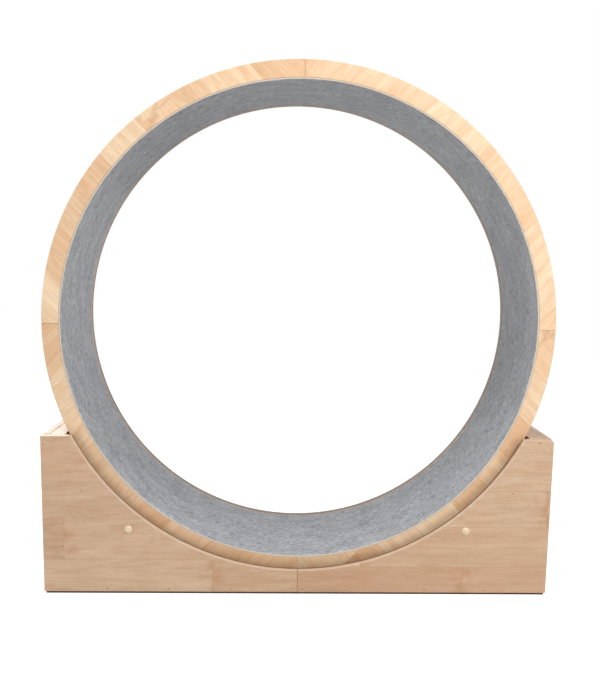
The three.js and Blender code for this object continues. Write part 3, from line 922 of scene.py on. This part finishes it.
# %% The screw tree
screw_tree, given, screw_inputs = new_tree("Countersunk cross-head screws", "Screws", {
    "Places": "Geometry", "Head radius": "Float", "Shank radius": "Float", "Head height": "Float",
    "Recess width": "Float", "Recess length": "Float", "Recess depth": "Float", "Seed": "Int",
    "Finish": "Material"})
cone = put(screw_tree, "GeometryNodeMeshCone", {
    "Vertices": SINK_SIDES, "Radius Top": given["Head radius"], "Radius Bottom": given["Shank radius"],
    "Depth": given["Head height"]})
sunk_by = maths(screw_tree, "MULTIPLY", given["Head height"], -1.0)
head_place = put(screw_tree, "ShaderNodeCombineXYZ", {2: sunk_by})
head = put(screw_tree, "GeometryNodeTransform", {"Geometry": cone, "Translation": head_place})
recess_height = maths(screw_tree, "MULTIPLY", given["Recess depth"], 2.0)
recessed = put(screw_tree, "GeometryNodeMeshBoolean", {"Mesh 1": head}, operation="DIFFERENCE",
               solver="EXACT")
for first, second in (("Recess length", "Recess width"), ("Recess width", "Recess length")):
    size = put(screw_tree, "ShaderNodeCombineXYZ", {0: given[first], 1: given[second], 2: recess_height})
    bar = put(screw_tree, "GeometryNodeMeshCube", {"Size": size})
    screw_tree.links.new(bar.outputs["Mesh"], recessed.inputs["Mesh 2"])

# %% One screw on each point, turned by hand
facing = put(screw_tree, "GeometryNodeInputNamedAttribute", {"Name": "facing"}, data_type="FLOAT_VECTOR")
aimed = put(screw_tree, "FunctionNodeAlignRotationToVector", {"Vector": facing}, axis="Z")
LEAST, MOST, NUMBER = 2, 3, 1  # the float sockets of a Random Value node
spin = put(screw_tree, "FunctionNodeRandomValue", {LEAST: 0.0, MOST: 2 * math.pi, "Seed": given["Seed"]},
           data_type="FLOAT").outputs[NUMBER]
turned_by = put(screw_tree, "FunctionNodeAxisAngleToRotation", {"Axis": (0, 0, 1), "Angle": spin})
rotation = put(screw_tree, "FunctionNodeRotateRotation", {0: aimed, 1: turned_by}, rotation_space="LOCAL")
placed = put(screw_tree, "GeometryNodeInstanceOnPoints",
             {"Points": given["Places"], "Instance": recessed, "Rotation": rotation})
end_tree(screw_tree, placed, given["Finish"])

# %% All the screws of the base
HEAD_SUNK = 0.12 * MM
TURN_SEED = 3
SCREW_SIZES = {"Head radius": 2.05 * MM, "Shank radius": 1.25 * MM, "Head height": 1.65 * MM,
               "Recess width": 0.55 * MM, "Recess length": 2.3 * MM, "Recess depth": 0.8 * MM}
screws = [screw for _, to_right in SIDES for _, to_rear in FACES
          for screw in panel_screws(to_right, to_rear)]
screws += [screw for _, to_right in SIDES for screw in end_screws(to_right)]
screw_points = bpy.data.meshes.new("screw_places")
screw_points.from_pydata([Vector(place) - HEAD_SUNK * Vector(facing) for place, facing in screws], [], [])
store(screw_points, "facing", [facing for _, facing in screws])
values = {**SCREW_SIZES, "Seed": TURN_SEED, "Finish": SCREW_BRONZE}
mesh = smoothed(from_tree(screw_tree, screw_inputs, values, screw_points), CORNER)
piece("countersunk_screws", mesh, SCREW_BRONZE, "base", "axle_steel")
print(len(screws), "screws,", len(mesh.polygons), "faces")

# %% [markdown]
# ## Turned parts
#
# Rollers, bearings, tubes and caps are round, so each is a section turned about its axis. A section is a
# list of corners with a radius for each, and a corner is eased before it is turned. Everything here has its
# axis along Y, like the axles.

# %% A small lathe
EASE_STEPS = 4
ROLLER_SIDES, NUT_SIDES, BEARING_SIDES, CAP_SIDES, TUBE_SIDES = 72, 60, 48, 48, 32


def eased_section(corners):
    """Corners are (radius, y, easing) in millimetres. Each becomes a short curve between its two sides."""
    line_out = []
    for index, (radius, y, ease) in enumerate(corners):
        here = np.array((radius, y), float)
        if ease == 0:
            line_out.append(here)
            continue
        before = np.array(corners[index - 1][:2], float) - here
        after = np.array(corners[(index + 1) % len(corners)][:2], float) - here
        first = here + before / np.linalg.norm(before) * ease
        last = here + after / np.linalg.norm(after) * ease
        for t in np.linspace(0, 1, EASE_STEPS):
            line_out.append((1 - t) ** 2 * first + 2 * t * (1 - t) * here + t ** 2 * last)
    return np.array(line_out) * MM


def turned(corners, x, y, z, steps):
    """The closed section turned about an axis along Y through x and z."""
    section = eased_section(corners)
    angles = np.linspace(0, 2 * math.pi, steps, endpoint=False)
    points = [(x + r * math.cos(a), y + along, z + r * math.sin(a)) for a in angles for r, along in section]
    n = len(section)
    faces = []
    for step in range(steps):
        here, there = step * n, (step + 1) % steps * n
        for i in range(n):
            j = (i + 1) % n
            if section[i][0] > 0 or section[j][0] > 0:
                faces.append((here + i, here + j, there + j, there + i))
    return shaded(mesh_from("turned", points, faces))


# %% Sections of the roller, its bearing, the tubes and the cap
GROOVE_HALF = 8.3


def mirrored(half_section):
    """The corners of one half, and then those of the other half, back to the start."""
    return half_section + [(radius, -y, ease) for radius, y, ease in reversed(half_section)]


ROLLER = mirrored([(11.3, -3.8, 0), (7.4, -3.8, 0), (7.4, -11.3, 0.5), (12.5, -11.3, 0.6), (13.5, -9.1, 0.8),
                   (19.5, -9.1, 0.8), (20.5, -11.3, 0.6), (29, -11.3, 1.2), (29, -GROOVE_HALF, 1.2),
                   (23, -GROOVE_HALF, 0.6)])
BEARING = mirrored([(4.3, -3.5, 0.3), (6.3, -3.5, 0.2), (6.3, -2.9, 0), (9.1, -2.9, 0), (9.1, -3.5, 0.2),
                    (11, -3.5, 0.4)])


def tube_section(half):
    return [(4.3, -half, 0.3), (6, -half, 0.4), (6, half, 0.4), (4.3, half, 0.3)]


CAP_RADIUS, CAP_HEIGHT, CAP_RIM, DOME_STEPS = 9, 4.5, 1.0, 14
dome_height = CAP_HEIGHT - CAP_RIM
dome_radius = (CAP_RADIUS ** 2 + dome_height ** 2) / (2 * dome_height)
rim_angle = math.asin(CAP_RADIUS / dome_radius)
dome = [(dome_radius * math.sin(a), CAP_HEIGHT - dome_radius * (1 - math.cos(a)), 0)
        for a in np.linspace(rim_angle, 0, DOME_STEPS)]
CAP = [(0, 0, 0), (CAP_RADIUS, 0, 0.25), *dome[:-1], (0, CAP_HEIGHT, 0)]

# %% [markdown]
# The nut is a hexagon whose corners are taken off by a cone, so it is the part that a turned disc and a
# hexagonal bar have in common. The axle is a rod with a real thread where the nuts sit: its radius falls
# and rises once per pitch, and the phase turns with the angle, which makes a helix.

# %% The nut and the threaded axle
NUT_CORNERS, NUT_HALF, NUT_BORE = 13 / math.sqrt(3), 3.25, 4.3
NUT_FACE, NUT_WIDE, CONE_FROM = 6.3, 7.6, 2.5
NUT_BLANK = mirrored([(0, -NUT_HALF, 0), (NUT_FACE, -NUT_HALF, 0), (NUT_WIDE, -CONE_FROM, 0)])
THROUGH_NUT = 4 * MM  # from the nut's middle to past its faces


def nut(x, y, z):
    bar = bmesh.new()
    add_cone(bar, (x, y, z), (0, 1, 0), THROUGH_NUT, THROUGH_NUT, NUT_CORNERS * MM, NUT_CORNERS * MM, 6)
    cutter = linked("cutter", turned(NUT_BLANK, x, y, z, NUT_SIDES))
    hexagon = mesh_of(bar, "hexagon")
    blank = modified(hexagon, "BOOLEAN", operation="INTERSECT", solver="EXACT", object=cutter)
    bpy.data.objects.remove(cutter)
    bore = ((x, y + THROUGH_NUT, z), (0, 1, 0), NUT_BORE * MM, 2 * THROUGH_NUT)
    return shaded(drilled(blank, [], [bore]))


ROD_RADIUS, ROD_HALF, ROD_SIDES = 4, 164.5, 24
THREAD_START, THREAD_STOP, THREAD_PITCH, THREAD_DEPTH = 150, 163.9, 1.25, 0.7
RUN_IN = 1.5  # the length over which the thread gets its depth
TIP_LENGTH, TIP_TAPER = 0.5, 0.9
STATIONS_PER_TURN = 8


def threaded_axle(x, z):
    thread = np.arange(THREAD_START, THREAD_STOP, THREAD_PITCH / STATIONS_PER_TURN)
    half = np.concatenate([[0, THREAD_START - TIP_LENGTH], thread, [ROD_HALF - TIP_LENGTH, ROD_HALF]])
    stations = np.concatenate([-half[:0:-1], half])
    angles = np.linspace(0, 2 * math.pi, ROD_SIDES, endpoint=False)
    phase = np.mod(stations[:, None] / THREAD_PITCH - angles / (2 * math.pi), 1)
    depth_share = np.clip((np.abs(stations) - THREAD_START) / RUN_IN, 0, 1)[:, None]
    radius = ROD_RADIUS - THREAD_DEPTH * np.abs(2 * phase - 1) * depth_share
    radius[[0, -1]] = ROD_RADIUS - TIP_TAPER
    along = np.broadcast_to(stations[:, None] * MM, radius.shape)
    points = np.stack([x + radius * MM * np.cos(angles), along, z + radius * MM * np.sin(angles)], axis=2)
    rows, n = radius.shape
    faces = [(j * n + i, j * n + (i + 1) % n, (j + 1) * n + (i + 1) % n, (j + 1) * n + i)
             for j in range(rows - 1) for i in range(n)]
    ends = [tuple(range(n)), tuple(range((rows - 1) * n, rows * n))]
    return shaded(mesh_from("axle", points.reshape(-1, 3), faces + ends))


# %% Two axles with all that is on them
for side, to_right in SIDES:
    x = to_right * axle_x
    mesh = threaded_axle(x, axle_z)
    piece(f"threaded_axle_{side}", mesh, ZINC_STEEL, "base", "axle_steel", f"axle_rod_{side}")
    tube_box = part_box(f"spacer_tube_{side}")
    mesh = turned(tube_section(tube_box[1].y / MM), x, 0, axle_z, TUBE_SIDES)
    piece(f"spacer_sleeve_{side}", mesh, ZINC_STEEL, "base", "axle_steel", f"spacer_tube_{side}")
    for face, to_rear in FACES:
        place = f"{face}_{side}"
        roller_body = f"{place}_roller"
        middles = {node: sum(corner.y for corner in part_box(f"{node}_{place}")) / 2
                   for node in ("roller", "axle_bush", "axle_nut")}
        bush_low, bush_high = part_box(f"axle_bush_{place}")
        cap_back = min((corner.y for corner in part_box(f"axle_cap_{place}")), key=abs)
        mesh = turned(ROLLER, x, middles["roller"], axle_z, ROLLER_SIDES)
        piece(f"nylon_roller_{place}", mesh, NYLON, roller_body, "roller_nylon", f"roller_{place}")
        mesh = turned(BEARING, x, middles["roller"], axle_z, BEARING_SIDES)
        piece(f"ball_bearing_{place}", mesh, BEARING_STEEL, roller_body, "axle_steel", f"bearing_{place}")
        bush_half = (bush_high.y - bush_low.y) / 2 / MM
        mesh = turned(tube_section(bush_half), x, middles["axle_bush"], axle_z, TUBE_SIDES)
        piece(f"bush_{place}", mesh, ZINC_STEEL, "base", "axle_steel", f"axle_bush_{place}")
        mesh = nut(x, middles["axle_nut"], axle_z)
        piece(f"hexagon_nut_{place}", mesh, ZINC_STEEL, "base", "axle_steel", f"axle_nut_{place}")
        cap_section = [(radius, to_rear * y, ease) for radius, y, ease in CAP]
        mesh = turned(cap_section, x, cap_back, axle_z, CAP_SIDES)
        piece(f"domed_cap_{place}", mesh, CAP_PLASTIC, "base", "cap_plastic", f"axle_cap_{place}")
print("roller's groove:", 2 * GROOVE_HALF, "mm wide")

# %% [markdown]
# ## Floor, light and camera
#
# The background is plain white. The floor is white too, and most of what the camera sees of it is its own
# white, so it keeps only a soft shadow. Other rays see a plain diffuse floor, which throws light back under
# the object as a real studio floor does. The world gives a little even light. A large soft lamp stands at
# the upper right in front, with weaker ones low at its side and at the left, level with the wheel. One
# hangs above on the left, and the last keeps the rear side and the right of the carpet from going dark.

# %% Floor
def seen_rays(tree):
    """1 for the rays that show the background: the camera's, and those off gloss or through glass."""
    path = put(tree, "ShaderNodeLightPath").outputs
    seen = maths(tree, "MAXIMUM", path["Is Camera Ray"], path["Is Glossy Ray"])
    return maths(tree, "MAXIMUM", seen, path["Is Transmission Ray"])


FLOOR_HALF = 8.0  # metres
BOUNCE, SEEN_BOUNCE, SEEN_WHITE = 0.7, 0.4, 0.88
floor_finish, tree = new_material("Matt white studio floor")
seen = seen_rays(tree)
grey = ranged(tree, seen, 0.0, 1.0, BOUNCE, SEEN_BOUNCE)
matt = put(tree, "ShaderNodeBsdfDiffuse", {"Color": grey})
glow = maths(tree, "MULTIPLY", seen, SEEN_WHITE)
white = put(tree, "ShaderNodeEmission", {"Color": (1, 1, 1, 1), "Strength": glow})
both = put(tree, "ShaderNodeAddShader", {0: matt, 1: white})
put(tree, "ShaderNodeOutputMaterial", {"Surface": both})
corners = [(-FLOOR_HALF, -FLOOR_HALF, 0), (FLOOR_HALF, -FLOOR_HALF, 0), (FLOOR_HALF, FLOOR_HALF, 0),
           (-FLOOR_HALF, FLOOR_HALF, 0)]
floor = linked("studio_floor", mesh_from("floor", corners, [(0, 1, 2, 3)]))
floor.data.materials.append(floor_finish)

# %% World
WORLD_LEVEL = 0.3
world = bpy.data.worlds.new("Even studio light")
world.use_nodes = True
tree = world.node_tree
tree.nodes.clear()
level = ranged(tree, seen_rays(tree), 0.0, 1.0, WORLD_LEVEL, 1.0)
light = put(tree, "ShaderNodeBackground", {"Color": (1, 1, 1, 1), "Strength": level})
put(tree, "ShaderNodeOutputWorld", {"Surface": light})
bpy.context.scene.world = world

# %% Lamps: name, place, what it is aimed at, diameter and watts
LAMPS = (("soft_key_lamp", (0.85, -1.8, 2.0), (0, 0, 0.6), 0.8, 39),
         ("low_right_lamp", (1.35, -1.7, 0.6), (0, 0, 0.6), 0.8, 5),
         ("soft_fill_lamp", (-1.25, -1.9, 0.9), (0, 0, 0.6), 0.9, 6),
         ("soft_top_lamp", (-0.9, -0.2, 2.5), (-0.2, 0, 0.4), 0.8, 28),
         ("soft_rear_lamp", (-1.4, 2.1, 1.5), (0, 0, 0.6), 0.9, 16))
for name, stand, aim, size, watts in LAMPS:
    lamp_data = bpy.data.lights.new(name, "AREA")
    lamp_data.shape = "DISK"
    lamp_data.size = size
    lamp_data.energy = watts
    lamp = linked(name, lamp_data)
    lamp.location = stand
    lamp.rotation_euler = (Vector(aim) - Vector(stand)).to_track_quat("-Z", "Y").to_euler()
print(len(LAMPS), "lamps,", sum(watts for *_, watts in LAMPS), "W")

# %% [markdown]
# The camera stands a little left of the middle, above the wheel's axis, and looks slightly down. Its place
# and angles were fitted to the outlines of the ring and the base, in an image of 600 by 700 pixels.

# %% Camera
CAMERA_PLACE = (-0.0426, -1.6796, 0.7307)
YAW, PITCH, ROLL = 0.0268, 0.1249, 0.0161
LENS_MM, SENSOR_MM = 37.327, 36  # the sensor's size is along the image's long side
forward = Vector((math.sin(YAW) * math.cos(PITCH), math.cos(YAW) * math.cos(PITCH), -math.sin(PITCH)))
level_right = Vector((math.cos(YAW), -math.sin(YAW), 0))
level_up = level_right.cross(forward)
right = math.cos(ROLL) * level_right + math.sin(ROLL) * level_up
up = math.cos(ROLL) * level_up - math.sin(ROLL) * level_right
camera_data = bpy.data.cameras.new("Camera")
camera_data.lens = LENS_MM
camera_data.sensor_width = SENSOR_MM
camera = linked("camera", camera_data)
camera.matrix_world = Matrix.Translation(CAMERA_PLACE) @ Matrix((right, up, -forward)).transposed().to_4x4()
bpy.context.scene.camera = camera
bpy.context.scene.view_settings.view_transform = "Standard"
